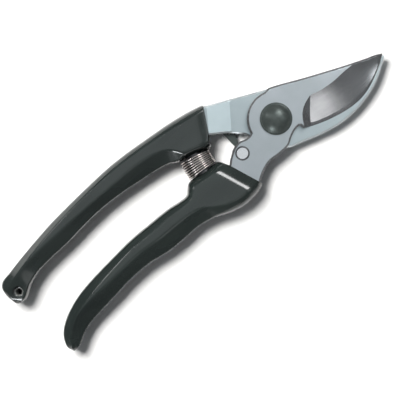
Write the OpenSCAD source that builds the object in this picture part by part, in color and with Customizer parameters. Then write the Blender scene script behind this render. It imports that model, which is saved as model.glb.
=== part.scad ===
// Bypass pruning shears: two forged halves on one pivot bolt, coated grips,
// a coil spring between the handles and a lock lever behind the pivot.
// Frame: pivot axis at x = y = 0, +X to the blade's tip, +Y to the counter
// handle's side, +Z up from the plane that the closed shears lie on.

/* [Blades] */
// Reach from the pivot axis to the cutting blade's tip
blade_len = 55.5; // [46:0.5:68]
// Thickness of the cutting plate
blade_t = 3.6; // [2.8:0.1:4.6]
// Thickness of the hooked counter plate
hook_t = 4.4; // [3.5:0.1:5.4]
// Radius of the round heel of both plates
heel_r = 12.8; // [11.5:0.1:14.5]
// Thickness left at the sharpened edge
edge_t = 0.2; // [0.1:0.05:0.5]
// How far the closed blade passes over the hook's inner edge
edge_overlap = 2.4; // [1.4:0.1:3]

/* [Pivot] */
// Diameter of the pivot bolt's shank
bolt_d = 8; // [6.4:0.1:9.6]
// Diameter of the bolt's domed head
cap_d = 13.2; // [12:0.1:15]
// Height of the bolt's domed head
cap_h = 3.3; // [2.5:0.1:4.2]
// Diameter of the washer under the domed head
washer_d = 14.4; // [13.4:0.1:16.2]
// Size of the pivot nut across its flats
nut_af = 11.5; // [10.8:0.1:13.5]
// Room behind the counter plate for the nut and the lock
rear_room = 3.56; // [3.4:0.02:4.4]

/* [Handles] */
// Reach from the pivot axis to the counter handle's end
handle_len = 142; // [118:1:171]
// Thickness of the coated grips
grip_t = 16; // [14.5:0.5:19.5]
// Thickness of the steel core inside each grip
core_t = 6.8; // [5.4:0.2:8]
// Share of the grip's width that the steel core takes
core_share = 0.5; // [0.35:0.05:0.6]
// Diameter of the hanging hole
hang_d = 2.8; // [2:0.1:3.6]
// Length of the hanging hole's round wall
hang_wall = 10; // [8:0.5:10.5]

/* [Spring] */
// Distance from the pivot axis to the middle of the coil
spring_reach = 39.8; // [39:0.1:41]
// Outer diameter of the coil
spring_d = 14.4; // [12:0.1:15]
// Diameter of the spring's wire
wire_d = 0.76; // [0.5:0.02:0.8]
// Number of turns
turns = 7.5; // [5:0.5:7.5]
// Diameter of the pegs that hold the spring's ends
peg_d = 8.6; // [7:0.1:9.6]

/* [Lock] */
// Diameter of the lock rivet's shank
rivet_d = 3; // [2.4:0.1:3.6]
// Diameter of the lock rivet's head
rivet_head_d = 5; // [4.4:0.1:5.6]
// Thickness of the lock lever
lever_t = 1.9; // [1.5:0.1:2.1]
// Diameter of the keeper pin that the lever hooks over
pin_d = 2.6; // [2.2:0.1:3.1]
// Swing of the lock lever from free to locked, in degrees
lock_swing = 18; // [18:1:20]

/* [Fits] */
// Radial clearance of turning fits
run_gap = 0.05; // [0.02:0.01:0.1]
// Gap between faces that slide past each other
face_gap = 0.08; // [0.05:0.01:0.15]

/* [Hidden] */

// Heights of the stack along the pivot axis
counter_z = rear_room;
lap_z = counter_z + hook_t + face_gap / 2;
plate_z = lap_z + face_gap / 2;
plate_top = plate_z + blade_t;
grip_mid_z = grip_t / 2;
core_z = lap_z - core_t / 2;
bolt_washer_t = 0.6;
nut_washer_t = 0.8;
nut_washer_d = nut_af * 1.22;
lock_plate_t = 1;
head_seat_z = plate_top + face_gap + bolt_washer_t;
thread_d = bolt_d - 1;

// Outline of the halves: lengths that the curves below are drawn at
drawn_blade = 55.5;
drawn_handle = 142;
blade_root = 8;
handle_root = -52;
heel_lift = heel_r - 12.8;

function pol(r, a) = [r * cos(a), r * sin(a)];
function arc(r, a0, a1, n) = [for (i = [0:n]) pol(r, a0 + (a1 - a0) * i / n)];
function mix(a, b, t) = a + (b - a) * t;

// Stretches the curves from their roots to the lengths asked for
function fore(x) = x <= blade_root ? x
    : blade_root + (x - blade_root) * (blade_len - blade_root) / (drawn_blade - blade_root);
function aft(x) = x >= handle_root ? x
    : handle_root + (x - handle_root) * (handle_len + handle_root) / (drawn_handle + handle_root);
function along(points) = [for (p = points) [aft(fore(p.x)), p.y]];

// Smooth curve through points, with n steps from each point to the next
function knot(p, i) = p[min(max(i, 0), len(p) - 1)];
function curve_at(p, i, t) = let (a = knot(p, i - 1), b = knot(p, i), c = knot(p, i + 1), d = knot(p, i + 2))
    0.5 * (2 * b + (c - a) * t + (2 * a - 5 * b + 4 * c - d) * t * t + (3 * b - a - 3 * c + d) * t * t * t);
function curve(p, n) = concat(
    [for (i = [0:len(p) - 2], k = [0:n - 1]) curve_at(p, i, k / n)], [p[len(p) - 1]]);

// Grips: matching points along the side that faces the other handle (near)
// and along the outside (far), from the mouth to the handle's end
seat_low_a = 178;
seat_high_a = 166;
seat_half = spring_d / 2 + 0.5;
seat_in = spring_reach - seat_half;
seat_out = spring_reach + seat_half;

cutting_near = concat(
    [[-29.2, -2.7], [-31, 0.2]],
    [pol(seat_in + 1, seat_low_a), pol(spring_reach, seat_low_a), pol(seat_out, seat_low_a)],
    along([[-50.2, -0.4], [-52.2, -2.3], [-56, -2.5], [-63, -1.9], [-73, -2.1], [-84, -2.5],
        [-96, -4], [-107, -5.6], [-116, -7.5], [-124, -10.5], [-130, -14.2], [-133.4, -18],
        [-134.9, -22.3], [-134, -25]]));
cutting_far = along([
    [-22.3, -18.8], [-24.3, -20.1], [-28.2, -21.3], [-34.3, -21.8], [-40.5, -20.7],
    [-45, -19.1], [-49.5, -17.6], [-56.5, -16.6], [-64.5, -17.1], [-73.5, -17.3], [-83.6, -16.2],
    [-94.4, -16.7], [-104, -18.2], [-112.5, -19.4], [-119.5, -20.6], [-124.5, -22.4], [-128, -24.5],
    [-130.4, -25.8], [-132.2, -26]]);

counter_near = concat(
    [[-28.2, 11.8], [-29.6, 9.2]],
    [pol(seat_in, seat_high_a), pol(spring_reach, seat_high_a), pol(seat_out, seat_high_a)],
    along([[-49.6, 13.3], [-54.5, 14.3], [-63, 15.1], [-73, 15.8], [-84, 15.9], [-95, 14.9],
        [-105.7, 13.3], [-116, 12.4], [-124, 11.2], [-130, 8.9], [-133.4, 6.6], [-135.6, 5.3],
        [-137.6, 5], [-139.3, 5.7]]));
counter_far = along([
    [-21.6, 25], [-25.5, 25.9], [-29.5, 26.6], [-35.5, 27.4], [-41, 27.9],
    [-46, 28.2], [-52, 28.5], [-61.5, 28.9], [-72, 28.8], [-84, 27.8], [-95.8, 26.5],
    [-107, 25], [-118, 22.9], [-127, 20.9], [-134.5, 19.1], [-139.5, 17.9], [-141.8, 15.4],
    [-142, 11], [-141.1, 7.5]]);

// Share of the full thickness at each of those points
swell = [0.84, 0.92, 0.98, 1, 1, 1, 1, 1, 1, 1, 1, 1, 1, 1, 0.97, 0.9, 0.84, 0.7, 0.5];
grip_steps = 2;
grip_sides = 20;
grip_squareness = 3.2;

function signed_pow(v, e) = sign(v) * pow(abs(v), e);
function grip_ring(near, far, half_t) = let (mid = (near + far) / 2, half = (near - far) / 2)
    [for (k = [0:grip_sides - 1]) let (a = 360 * (k + 0.5) / grip_sides,
        across = signed_pow(cos(a), 2 / grip_squareness), up = signed_pow(sin(a), 2 / grip_squareness))
        [mid.x + half.x * across, mid.y + half.y * across, grip_mid_z + half_t * up]];

// Closed skin over rings that have the same number of points
function ring_faces(rings, sides) = concat(
    [for (i = [0:rings - 2], k = [0:sides - 1]) let (a = i * sides + k, b = i * sides + (k + 1) % sides)
        each [[a, a + sides, b], [b, a + sides, b + sides]]],
    [[for (k = [0:sides - 1]) k]],
    [[for (k = [sides - 1:-1:0]) (rings - 1) * sides + k]]);

module grip_skin(near, far, flip) {
    n = curve(near, grip_steps);
    f = curve(far, grip_steps);
    s = curve(swell, grip_steps);
    rows = [for (i = [0:len(n) - 1]) grip_ring(n[i], f[i], min(s[i], 1) * grip_t / 2)];
    faces = ring_faces(len(rows), grip_sides);
    polyhedron(points = [for (row = rows) each row],
        faces = flip ? [for (f = faces) [for (k = [len(f) - 1:-1:0]) f[k]]] : faces);
}

// Steel core that runs inside a grip. The plates enter the mouth a little
// wider than the core, and the core starts just outside the mouth.
mouth_share = 0.88;
mouth_taper = 0.08;
core_stations = 14;
core_start = 1.25;
core_shares = [0.8, 0.72, 0.6];
function core_width(i) = i < len(core_shares) ? core_shares[i] : core_share;
function across(near, far, side, i, share) = mix((near[i] + far[i]) / 2, side > 0 ? near[i] : far[i], share);
function mouth_edge(near, far, side, i) = across(near, far, side, i, mouth_share - mouth_taper * i);
function core_edge(near, far, side, i) = i > 0 ? across(near, far, side, i, core_width(i))
    : mix(core_edge(near, far, side, 1), across(near, far, side, 0, core_width(0)), core_start);
module tang(near, far) {
    rise(core_z, core_t) polygon(concat(
        curve([for (i = [0:core_stations - 1]) core_edge(near, far, 1, i)], 2),
        curve([for (i = [core_stations - 1:-1:0]) core_edge(near, far, -1, i)], 2)));
}

module rise(z, h) { translate([0, 0, z]) linear_extrude(h) children(); }
module rod(d, z, h) { translate([0, 0, z]) cylinder(d = d, h = h, $fn = 64); }

// Everything below a plane that starts at a distance and direction from the
// pivot, at height z, and leaves it with the given slope
module under_ramp(distance, direction, z, slope) {
    reach = 60;
    depth = 20;
    back = 2;
    rotate([0, 0, direction]) translate([distance, 0, z]) rotate([0, -slope, 0])
        translate([-back, -reach / 2, -depth]) cube([reach, reach, depth]);
}

// ---- Cutting half ----------------------------------------------------------

tip = [blade_len, -6.2];
spine_line = along([[5.8, 12.85 + heel_lift], [11, 10.9], [19.5, 7.3], [29, 3.5], [39, -0.3], [47, -3.1],
    [52.5, -4.8]]);
edge_line = along([[53.6, -7.7], [50.9, -9.6], [44.2, -13.3], [37.8, -15.7], [31.3, -16.4], [24.5, -15.8],
    [17.3, -14.3], [11, -12.3], [7.2, -10.8]]);
notch_line = [[6.7, -8.9], [4.9, -8.8 - heel_lift / 2], [2.6, -9.5 - heel_lift], [0.3, -10.7 - heel_lift],
    [-3, -12.7 - heel_lift], [-8.2, -13.3 - heel_lift / 2], [-13.9, -13.3], [-19.2, -15.4]];
back_line = [[-27, -1.8], [-24.1, 0.3], [-21.6, 1.5], [-18.9, 1.9], [-16.4, 1.3], [-14.3, 1.2]];

module cutting_plate_outline() {
    polygon(concat(
        arc(heel_r, 173, 76, 16),
        curve(spine_line, 3), [tip], curve(edge_line, 3), curve(notch_line, 3),
        [mouth_edge(cutting_near, cutting_far, -1, 0), mouth_edge(cutting_near, cutting_far, -1, 1),
            mouth_edge(cutting_near, cutting_far, 1, 1), mouth_edge(cutting_near, cutting_far, 1, 0)],
        curve(back_line, 3)));
}

// The ground face: a sheet of rows along the blade, each from the line where
// the grind starts down to the sharpened edge, with a sharpening bevel on the
// last stretch. The first two rows are the wheel's curved run-out at the heel.
grind_over = 0.05;
bevel_t = 0.75;
function grind_z(share) = mix(plate_top + grind_over, plate_z + bevel_t, share);
grind_shares = [0, 0.28, 0.55, 0.8, 1];
heel_start = along([[18.4, -0.9], [14.2, -2.6], [11, -4.8], [9, -7.6], [7.6, -10.2], [7, -11.4], [6.6, -12.6]]);
heel_end = along([[18.8, -1], [16, -4.1], [13.6, -7.4], [11.9, -10], [11.1, -11.3], [11, -12.4], [10.9, -14.4]]);
grind_top = along([[24, -2.2], [30, -2.5], [37, -2], [43, -2], [48, -2.1], [52.5, -2.5], [58, -3.2]]);
grind_low = along([[23, -14.2], [30, -15.1], [37, -14.5], [43.3, -12.5], [49, -9.3], [52.6, -7], [58.5, -4.6]]);
edge_out = [0.4, -1.3];

function grind_row(top, low) = concat(
    [for (s = grind_shares) [mix(top.x, low.x, s), mix(top.y, low.y, s), grind_z(s)]],
    [[low.x + edge_out.x, low.y + edge_out.y, plate_z + edge_t],
        [low.x + 2 * edge_out.x, low.y + 2 * edge_out.y, plate_z + 2 * edge_t - bevel_t]]);
function heel_row(line, raised) = [for (i = [0:6]) [line[i].x, line[i].y,
    raised ? plate_top + grind_over
    : i < 5 ? grind_z(grind_shares[i]) : i == 5 ? plate_z + edge_t : plate_z + 2 * edge_t - bevel_t]];
grind_rows = concat([heel_row(heel_start, true), heel_row(heel_end, false)],
    [for (i = [0:len(grind_top) - 1]) grind_row(grind_top[i], grind_low[i])]);

module grind_cutter() {
    cols = 7;
    rows = len(grind_rows);
    lid_z = plate_top + blade_t;
    low = [for (row = grind_rows) each row];
    high = [for (row = grind_rows, p = row) [p.x, p.y, lid_z]];
    n = rows * cols;
    sheet = [for (i = [0:rows - 2], k = [0:cols - 2]) let (a = i * cols + k) each
        [[a, a + 1, a + cols], [a + 1, a + cols + 1, a + cols]]];
    lid = [for (f = sheet) [f[0] + n, f[2] + n, f[1] + n]];
    rim = concat([for (k = [0:cols - 2]) [k, k + 1]],
        [for (i = [0:rows - 2]) [i * cols + cols - 1, (i + 1) * cols + cols - 1]],
        [for (k = [cols - 1:-1:1]) [(rows - 1) * cols + k, (rows - 1) * cols + k - 1]],
        [for (i = [rows - 1:-1:1]) [i * cols, (i - 1) * cols]]);
    wall = [for (e = rim) each [[e[0], e[0] + n, e[1] + n], [e[0], e[1] + n, e[1]]]];
    polyhedron(points = concat(low, high), faces = concat(sheet, lid, wall));
}

// Lock rivet's place, and the heights of what it carries
rivet_at = [-21.1, -2.9];
lever_top = counter_z - 0.25;
lever_z = lever_top - lever_t;
wave_washer_t = 0.3;
boss_z = lever_top + face_gap + wave_washer_t;
boss_d = rivet_d + 6;
rivet_seat_t = 1.2;
rivet_seat_gap = 0.55;
rivet_tail_t = 0.85;

cutting_mouth_a = 203;
cutting_mouth_far = 22.5;
rear_slope = 32;

// Plate and tang, which the cutting half's grip is moulded round
module cutting_plate_and_tang() {
    rise(plate_z, blade_t) cutting_plate_outline();
    intersection() {
        rise(core_z, plate_z - core_z + blade_t / 2) cutting_plate_outline();
        translate([0, 0, 2 * plate_z]) mirror([0, 0, 1])
            under_ramp(cutting_mouth_far, cutting_mouth_a, plate_z, rear_slope);
    }
    tang(cutting_near, cutting_far);
}

module cutting_blade() {
    color([0.66, 0.69, 0.71]) difference() {
        union() {
            cutting_plate_and_tang();
            translate(rivet_at) rod(boss_d, boss_z, plate_z - boss_z + blade_t / 2);
        }
        grind_cutter();
        rod(bolt_d + 2 * run_gap, plate_z - 1, blade_t + 2);
        translate(rivet_at) {
            rod(rivet_d, boss_z - 1, plate_top);
            rod(rivet_head_d + 2 * rivet_seat_gap, plate_top - rivet_seat_t, rivet_seat_t + 1);
        }
    }
}

module cutting_grip() {
    color([0.13, 0.16, 0.15]) difference() {
        grip_skin(cutting_near, cutting_far, false);
        cutting_plate_and_tang();
        peg_at(seat_low_a, 1) peg_shape();
    }
}

// ---- Counter half ----------------------------------------------------------

neck_top_line = [[-19, 22.9], [-15.2, 21.5], [-9.7, 19.3], [-4.3, 17], [-0.3, 15.3 + heel_lift / 2],
    [3.2, 13.85 + heel_lift], [5.2, 13.05 + heel_lift]];
neck_low_line = [[-6.5, -11.2], [-10.6, -7.2], [-12.9, -2.5], [-14.3, 2.2], [-17, 5.1], [-20.9, 8.5], [-24.6, 10.7]];
hook_near_line = along([[13.6, -7.6], [17.3, -14.3 + edge_overlap], [24.5, -15.8 + edge_overlap],
    [31.3, -16.4 + edge_overlap], [37.8, -15.7 + edge_overlap], [44.2, -13.3 + edge_overlap],
    [50.9, -9.6 + edge_overlap / 2], [55.3, -6.8]]);
hook_far_line = along([[55.3, -7.9], [52.3, -10], [49.2, -12.4], [44, -15.2], [38, -17.4], [31.1, -18.9],
    [24.1, -19.4], [18, -18.9], [10.6, -17.4], [3.5, -15.5], [-2, -14.1]]);

module counter_plate_outline() {
    polygon(concat(
        [mouth_edge(counter_near, counter_far, 1, 0), mouth_edge(counter_near, counter_far, 1, 1),
            mouth_edge(counter_near, counter_far, -1, 1), mouth_edge(counter_near, counter_far, -1, 0)],
        curve(neck_top_line, 3), arc(heel_r, 62, -20, 16),
        curve(hook_near_line, 3), curve(hook_far_line, 3), curve(neck_low_line, 3)));
}

ramp_far = 20;
ramp_a = 146;
ramp_slope = 20;

module neck_block() {
    intersection() {
        rise(lap_z - 1, plate_top - lap_z + 1) counter_plate_outline();
        under_ramp(ramp_far, ramp_a, counter_z + hook_t, ramp_slope);
    }
}

// Screw that holds the lock plate, in the counter plate beside the nut
screw_at = pol(10.4, 60);
screw_d = 2.4;
screw_head_d = 4.4;
screw_head_t = 1.1;
screw_depth = 3.2;

// Keeper pin, seen from the lock rivet
pin_from_rivet = 12.04;
pin_a = 60.7;
pin_at = rivet_at + pol(pin_from_rivet, pin_a);
pin_depth = 2.6;

// Plate, neck and tang, which the counter half's grip is moulded round
module counter_plate_and_tang() {
    rise(counter_z, hook_t) counter_plate_outline();
    neck_block();
    tang(counter_near, counter_far);
}

module counter_blade() {
    color([0.72, 0.78, 0.8]) difference() {
        counter_plate_and_tang();
        rod(bolt_d, counter_z - 1, hook_t + 2);
        translate(screw_at) rod(screw_d, counter_z - 1, screw_depth + 1);
        translate(pin_at) rod(pin_d, counter_z - 1, pin_depth + 1);
    }
}

hang_at = [aft(-136.4), 9.6];
hang_seat_d = hang_d + 2.6;

module counter_grip() {
    color([0.16, 0.19, 0.18]) difference() {
        grip_skin(counter_near, counter_far, true);
        counter_plate_and_tang();
        peg_at(seat_high_a, -1) peg_shape();
        translate(hang_at) {
            rod(hang_d, -1, grip_t + 2);
            rod(hang_seat_d, grip_mid_z + hang_wall / 2, grip_t);
            rod(hang_seat_d, grip_mid_z - hang_wall / 2 - grip_t, grip_t);
        }
    }
}

// ---- Pivot -----------------------------------------------------------------

module pivot_bolt() {
    rim_h = 0.9;
    rim_step = 0.55;
    dome_r = cap_d / 2 - rim_step;
    dome_h = cap_h - rim_h;
    color([0.2, 0.23, 0.22]) union() {
        rod(thread_d, 0, counter_z);
        rod(bolt_d, counter_z - nut_washer_t, head_seat_z - counter_z + nut_washer_t);
        translate([0, 0, head_seat_z]) rotate_extrude($fn = 96) polygon(concat(
            [[0, 0], [cap_d / 2, 0], [cap_d / 2, rim_h]],
            [for (i = [0:12]) [dome_r * cos(90 * i / 12), rim_h + dome_h * sin(90 * i / 12)]]));
    }
}

module bolt_washer() {
    color([0.3, 0.32, 0.32]) difference() {
        rod(washer_d, plate_top + face_gap, bolt_washer_t);
        rod(bolt_d, plate_top, bolt_washer_t + 1);
    }
}

module nut_washer() {
    color([0.7, 0.72, 0.72]) difference() {
        rod(nut_washer_d, counter_z - nut_washer_t, nut_washer_t);
        rod(bolt_d, counter_z - nut_washer_t - 1, nut_washer_t + 2);
    }
}

module nut_prism(af, z, h) {
    translate([0, 0, z]) cylinder(d = af / cos(30), h = h, $fn = 6);
}

module pivot_nut() {
    color([0.62, 0.64, 0.65]) difference() {
        nut_prism(nut_af, 0, counter_z - nut_washer_t);
        rod(thread_d, -1, counter_z + 1);
    }
}

// Plate with a six-sided hole that keeps the nut from turning
module nut_lock_plate() {
    plate_r = nut_af / 2 + 3;
    arm_w = 4.6;
    foot_d = 5.6;
    fit = 0.1;
    color([0.55, 0.57, 0.58]) difference() {
        union() {
            rod(2 * plate_r, counter_z - nut_washer_t - lock_plate_t, lock_plate_t);
            rotate([0, 0, 60]) translate([0, -arm_w / 2, counter_z - nut_washer_t - lock_plate_t])
                cube([norm(screw_at), arm_w, lock_plate_t]);
            translate(screw_at)
                rod(foot_d, counter_z - nut_washer_t - lock_plate_t, lock_plate_t + nut_washer_t);
        }
        nut_prism(nut_af + 2 * fit, -1, counter_z + 1);
        rod(nut_washer_d + 2 * fit, counter_z - nut_washer_t, nut_washer_t + 1);
        translate(screw_at) rod(screw_d, -1, counter_z + 2);
    }
}

module lock_plate_screw() {
    head_z = counter_z - nut_washer_t - lock_plate_t - screw_head_t;
    slot_w = 0.7;
    slot_depth = 0.5;
    color([0.66, 0.68, 0.68]) translate(screw_at) difference() {
        union() {
            rod(screw_head_d, head_z, screw_head_t);
            rod(screw_d, head_z, counter_z + screw_depth - head_z);
        }
        translate([-screw_head_d, -slot_w / 2, head_z - 1]) cube([2 * screw_head_d, slot_w, slot_depth + 1]);
    }
}

// ---- Spring ----------------------------------------------------------------

seat_gap = 0.1;
spring_sides = 6;
turn_steps = 20;

// Centre of the wire: a coil whose axis bends round the pivot
function coil_point(t, r) = let (
    lead = asin((wire_d / 2 + seat_gap) / (spring_reach - spring_d / 2)),
    a = mix(seat_low_a - lead, seat_high_a + lead, t),
    out = spring_reach + r * cos(360 * turns * t))
    [out * cos(a), out * sin(a), grip_mid_z + r * sin(360 * turns * t)];

module main_spring() {
    coil_r = (spring_d - wire_d) / 2;
    steps = turns * turn_steps;
    rows = [for (i = [0:steps]) let (t = i / steps, a = 360 * turns * t,
        mid_a = mix(seat_low_a, seat_high_a, t), out = [cos(mid_a) * cos(a), sin(mid_a) * cos(a), sin(a)],
        side = [-sin(mid_a), cos(mid_a), 0])
        [for (k = [0:spring_sides - 1]) let (b = 360 * k / spring_sides)
            coil_point(t, coil_r) + wire_d / 2 * (out * cos(b) + side * sin(b))]];
    color([0.25, 0.22, 0.2]) polyhedron(points = [for (row = rows) each row],
        faces = ring_faces(len(rows), spring_sides));
}

peg_depth = 4;
peg_out = 2.5;

// Puts a peg on a seat: the seat's angle, and +1 or -1 for the way it points
module peg_at(a, way) {
    translate([spring_reach * cos(a), spring_reach * sin(a), grip_mid_z])
        rotate([0, 0, a]) rotate([way * 90, 0, 0]) children();
}
module peg_shape() { rod(peg_d, -peg_depth, peg_depth + peg_out); }

module cutting_spring_peg() { color([0.6, 0.62, 0.63]) peg_at(seat_low_a, 1) peg_shape(); }
module counter_spring_peg() { color([0.6, 0.62, 0.63]) peg_at(seat_high_a, -1) peg_shape(); }

// ---- Lock ------------------------------------------------------------------

pin_room = 0.25;
prong_w = 2;
pin_half_a = asin(pin_d / 2 / pin_from_rivet);
clear_a = 4;
lip_a = pin_a + pin_half_a + clear_a;
slot_end_a = pin_a + pin_half_a + 1 + lock_swing;
head_end_a = slot_end_a + 9;
slot_in = pin_from_rivet - pin_d / 2 - pin_room;
slot_out = pin_from_rivet + pin_d / 2 + pin_room;
pad_at = [6.4, -7.2];
pad_d = 7;

module sector(r0, r1, a0, a1) {
    polygon(concat(arc(r1, a0, a1, 12), arc(r0, a1, a0, 12)));
}

module lock_lever() {
    tail_a = atan2(pad_at.y, pad_at.x);
    tail_w = 5;
    color([0.5, 0.52, 0.53]) translate(rivet_at) difference() {
        union() {
            rod(boss_d, lever_z, lever_t);
            rise(lever_z, lever_t) difference() {
                sector(0.5, slot_out + prong_w, lip_a, head_end_a);
                sector(slot_in, slot_out, lip_a - 10, slot_end_a);
            }
            rotate([0, 0, tail_a]) translate([0, -tail_w / 2, lever_z]) cube([norm(pad_at), tail_w, lever_t]);
            translate(pad_at) rod(pad_d, lever_z / 2, lever_t + lever_z / 2);
        }
        rod(rivet_d + 2 * run_gap, -1, counter_z + 2);
    }
}

module lock_rivet() {
    head_rise = 0.2;
    tail_z = lever_z - face_gap - rivet_tail_t;
    color([0.85, 0.87, 0.88]) translate(rivet_at) union() {
        rod(rivet_d, tail_z, plate_top - tail_z);
        rod(rivet_head_d, plate_top - rivet_seat_t, rivet_seat_t + head_rise);
        rod(rivet_head_d, tail_z, rivet_tail_t);
    }
}

module lock_wave_washer() {
    color([0.6, 0.62, 0.63]) translate(rivet_at) difference() {
        rod(boss_d - 1.5, lever_top + face_gap, wave_washer_t);
        rod(rivet_d, lever_top, wave_washer_t + 1);
    }
}

module keeper_pin() {
    color([0.75, 0.77, 0.78]) translate(pin_at) rod(pin_d, lever_z, counter_z + pin_depth - lever_z);
}

cutting_blade();
counter_blade();
cutting_grip();
counter_grip();
pivot_bolt();
bolt_washer();
nut_washer();
pivot_nut();
nut_lock_plate();
lock_plate_screw();
main_spring();
cutting_spring_peg();
counter_spring_peg();
lock_lever();
lock_rivet();
lock_wave_washer();
keeper_pin();
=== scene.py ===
import math

import bmesh
import bpy
import numpy as np
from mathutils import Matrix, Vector
from mathutils.geometry import delaunay_2d_cdt


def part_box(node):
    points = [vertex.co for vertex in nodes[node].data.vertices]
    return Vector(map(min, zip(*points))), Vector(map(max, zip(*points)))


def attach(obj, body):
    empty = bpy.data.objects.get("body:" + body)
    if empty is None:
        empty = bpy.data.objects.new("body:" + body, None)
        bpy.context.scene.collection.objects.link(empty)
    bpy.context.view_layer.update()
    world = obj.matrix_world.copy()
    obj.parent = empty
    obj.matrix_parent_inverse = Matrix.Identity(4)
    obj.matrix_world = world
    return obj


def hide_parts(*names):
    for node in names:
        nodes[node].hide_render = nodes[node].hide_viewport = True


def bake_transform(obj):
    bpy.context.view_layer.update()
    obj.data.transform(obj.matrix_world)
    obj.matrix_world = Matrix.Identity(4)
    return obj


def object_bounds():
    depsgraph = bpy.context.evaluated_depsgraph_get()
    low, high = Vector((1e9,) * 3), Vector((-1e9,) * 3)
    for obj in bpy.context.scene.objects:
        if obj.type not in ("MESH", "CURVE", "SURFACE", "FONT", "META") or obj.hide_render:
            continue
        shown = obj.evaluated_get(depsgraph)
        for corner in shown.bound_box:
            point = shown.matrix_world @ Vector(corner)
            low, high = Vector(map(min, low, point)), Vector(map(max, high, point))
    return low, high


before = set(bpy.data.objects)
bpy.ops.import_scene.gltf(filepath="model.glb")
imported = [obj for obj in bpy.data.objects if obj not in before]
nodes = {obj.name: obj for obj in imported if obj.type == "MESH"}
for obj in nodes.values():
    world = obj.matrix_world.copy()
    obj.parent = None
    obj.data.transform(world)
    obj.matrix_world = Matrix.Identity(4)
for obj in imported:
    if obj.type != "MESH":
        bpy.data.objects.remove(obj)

MM = 0.001
cad_low, cad_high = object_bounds()


# ---- The frame's own sizes, in millimetres ---------------------------------

def box_mm(node):
    low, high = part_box(node)
    return low / MM, high / MM


blade_low, blade_high = box_mm("cutting_blade")
washer_low, washer_high = box_mm("bolt_washer")
nut_washer_low, nut_washer_high = box_mm("nut_washer")
spring_low, spring_high = box_mm("main_spring")
rivet_low, rivet_high = box_mm("lock_rivet")
bolt_low, bolt_high = box_mm("pivot_bolt")

DRAWN_BLADE = 55.5
DRAWN_HANDLE = 142.0
BLADE_ROOT = 8.0
HANDLE_ROOT = -52.0
FACE_GAP = 0.08
WASHER_GAP = 0.08
BEVEL_T = 0.75
EDGE_T = 0.2

blade_len = blade_high.x
handle_len = -box_mm("counter_grip")[0].x
plate_top = washer_low.z - WASHER_GAP
counter_z = nut_washer_high.z
blade_t = 3.6
plate_z = plate_top - blade_t
lap_z = plate_z - FACE_GAP
core_z = blade_low.z
grip_mid_z = (spring_low.z + spring_high.z) / 2
grip_half_t = grip_mid_z
bolt_r = 4.0
rivet_at = Vector(((rivet_low.x + rivet_high.x) / 2, (rivet_low.y + rivet_high.y) / 2))
HEEL_R = 12.8
RIVET_SEAT_GAP = 0.55
RIVET_SEAT_DEPTH = 1.2
rivet_seat_r = (rivet_high.x - rivet_low.x) / 2 + RIVET_SEAT_GAP


# ---- Curves ----------------------------------------------------------------

def pol(r, degrees):
    a = math.radians(degrees)
    return (r * math.cos(a), r * math.sin(a))


def arc(r, start, end, steps):
    return [pol(r, start + (end - start) * i / steps) for i in range(steps + 1)]


def along(points):
    """Stretches drawn points from the halves' roots to the frame's lengths."""
    fore = (blade_len - BLADE_ROOT) / (DRAWN_BLADE - BLADE_ROOT)
    aft = (handle_len + HANDLE_ROOT) / (DRAWN_HANDLE + HANDLE_ROOT)
    moved = []
    for x, y in points:
        if x > BLADE_ROOT:
            x = BLADE_ROOT + (x - BLADE_ROOT) * fore
        if x < HANDLE_ROOT:
            x = HANDLE_ROOT + (x - HANDLE_ROOT) * aft
        moved.append((x, y))
    return moved


def curve(points, steps):
    """Smooth curve through points (of any dimension), with steps from each to the next."""
    p = np.array(points, float)
    if p.ndim == 1:
        p = p[:, None]
    out = []
    for i in range(len(p) - 1):
        a, b, c, d = p[max(i - 1, 0)], p[i], p[i + 1], p[min(i + 2, len(p) - 1)]
        for k in range(steps):
            t = k / steps
            out.append(0.5 * (2 * b + (c - a) * t + (2 * a - 5 * b + 4 * c - d) * t * t
                              + (3 * b - a - 3 * c + d) * t ** 3))
    out.append(p[-1])
    return np.array(out)


def even(points, spacing):
    """The same line with points at an even spacing."""
    p = np.array(points, float)
    run = np.concatenate([[0], np.cumsum(np.linalg.norm(np.diff(p, axis=0), axis=1))])
    count = max(2, int(round(run[-1] / spacing)) + 1)
    want = np.linspace(0, run[-1], count)
    return np.stack([np.interp(want, run, p[:, k]) for k in range(p.shape[1])], axis=1)


# ---- Mesh helpers ----------------------------------------------------------

def make_object(name, verts, faces, material, sharp_edges=(), sharp_angle=None, clip=True):
    """A smooth-shaded object from points in millimetres, clipped to the CAD's overall box unless clip is off."""
    mesh = bpy.data.meshes.new(name)
    spots = np.array(verts) * MM
    if clip:
        spots = np.clip(spots, cad_low, cad_high)
    mesh.from_pydata([tuple(v) for v in spots], [], faces)
    mesh.validate()
    bm = bmesh.new()
    bm.from_mesh(mesh)
    bmesh.ops.remove_doubles(bm, verts=bm.verts, dist=1e-7)
    bmesh.ops.recalc_face_normals(bm, faces=bm.faces)
    bm.to_mesh(mesh)
    bm.free()
    mesh.polygons.foreach_set("use_smooth", [True] * len(mesh.polygons))
    if sharp_angle is not None:
        mesh.set_sharp_from_angle(angle=math.radians(sharp_angle))
    if len(sharp_edges):
        wanted = {tuple(round(c, 3) for c in p) for line in sharp_edges for p in line}
        on_line = [tuple(round(c / MM, 3) for c in v.co) in wanted for v in mesh.vertices]
        flags = np.zeros(len(mesh.edges), bool)
        attribute = mesh.attributes.get("sharp_edge") or mesh.attributes.new("sharp_edge", "BOOLEAN", "EDGE")
        attribute.data.foreach_get("value", flags)
        for edge in mesh.edges:
            if on_line[edge.vertices[0]] and on_line[edge.vertices[1]]:
                flags[edge.index] = True
        attribute.data.foreach_set("value", flags)
    obj = bpy.data.objects.new(name, mesh)
    bpy.context.scene.collection.objects.link(obj)
    obj.data.materials.append(material)
    return obj


NORMAL_WEIGHT = 90


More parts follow.
